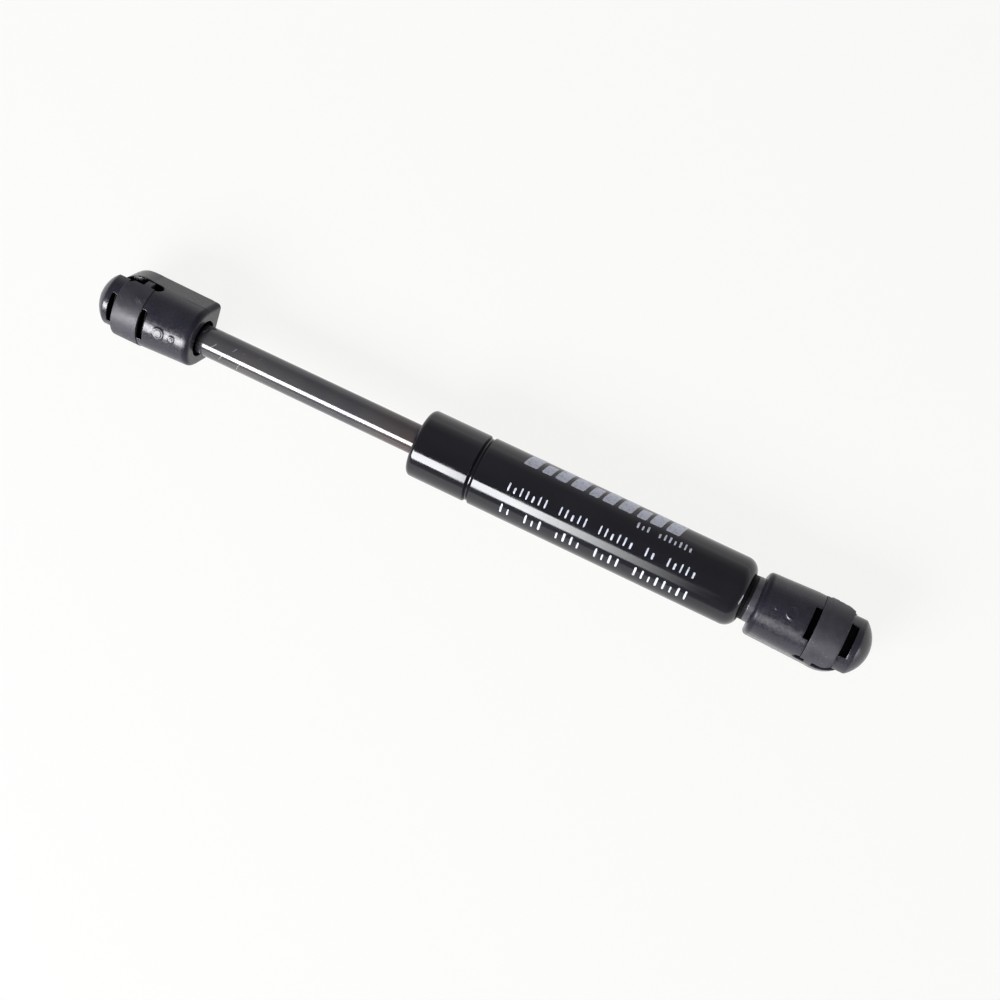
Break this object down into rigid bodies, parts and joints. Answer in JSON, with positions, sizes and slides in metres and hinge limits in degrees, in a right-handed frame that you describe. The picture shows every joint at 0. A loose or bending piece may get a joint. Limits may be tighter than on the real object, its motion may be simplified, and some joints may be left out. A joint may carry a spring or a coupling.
{
  "type": "gas strut stay",
  "caption": "Short gas spring stay: black tube, sliding rod and a clip-retained plastic ball socket at each end.",
  "frame": {"origin": "centre of the ball seat in the tube-end socket", "axes": "+X along the strut from the rod end towards the tube end, -Z out of the tube-end socket's mouth"},
  "size_m": [0.2147, 0.0194, 0.0187],
  "materials": {
    "tube_paint": "gloss black enamel",
    "stud_black": "black zinc",
    "zinc_steel": "zinc plated",
    "rubber": "moulded nitrile",
    "guide_plastic": "turned acetal",
    "socket_nylon": "satin moulded nylon",
    "clip_steel": "black oxide spring steel",
    "piston_ring_bronze": "bronze filled",
    "rod_nitrided": "polished black nitride",
    "piston_alloy": "turned"
  },
  "bodies": {
    "tube": {"pressure_tube": "tube_paint", "base_stud": "stud_black", "retaining_washer": "zinc_steel", "wiper_ring": "rubber", "guide_bush": "guide_plastic", "guide_o_ring": "rubber", "rod_seal": "rubber", "seal_support_washer": "zinc_steel", "tube_end_socket": "socket_nylon"},
    "tube_clip": {"tube_end_clip": "clip_steel"},
    "floating_ring": {"piston_ring": "piston_ring_bronze"},
    "rod": {"piston_rod": "rod_nitrided", "piston": "piston_alloy", "piston_front_washer": "zinc_steel", "piston_valve_disc": "zinc_steel", "piston_rear_washer": "zinc_steel", "rod_end_socket": "socket_nylon"},
    "rod_clip": {"rod_end_clip": "clip_steel"}
  },
  "joints": [
    {"name": "rod_slide", "type": "slide", "parent": "tube", "child": "floating_ring", "axis": [1, 0, 0], "range_m": [0, 0.0508], "stiffness_N_per_m": 438, "springref_m": -0.203},
    {"name": "rod_spin", "type": "hinge", "parent": "floating_ring", "child": "rod", "pos_m": [-0.08885, 0, 0], "axis": [1, 0, 0], "continuous": true},
    {"name": "tube_clip_lift", "type": "slide", "parent": "tube", "child": "tube_clip", "axis": [0, 0, 1], "range_m": [0, 0.0012], "stiffness_N_per_m": 2000},
    {"name": "rod_clip_lift", "type": "slide", "parent": "rod", "child": "rod_clip", "axis": [0, -0.5592, 0.829], "range_m": [0, 0.0012], "stiffness_N_per_m": 2000}
  ]
}
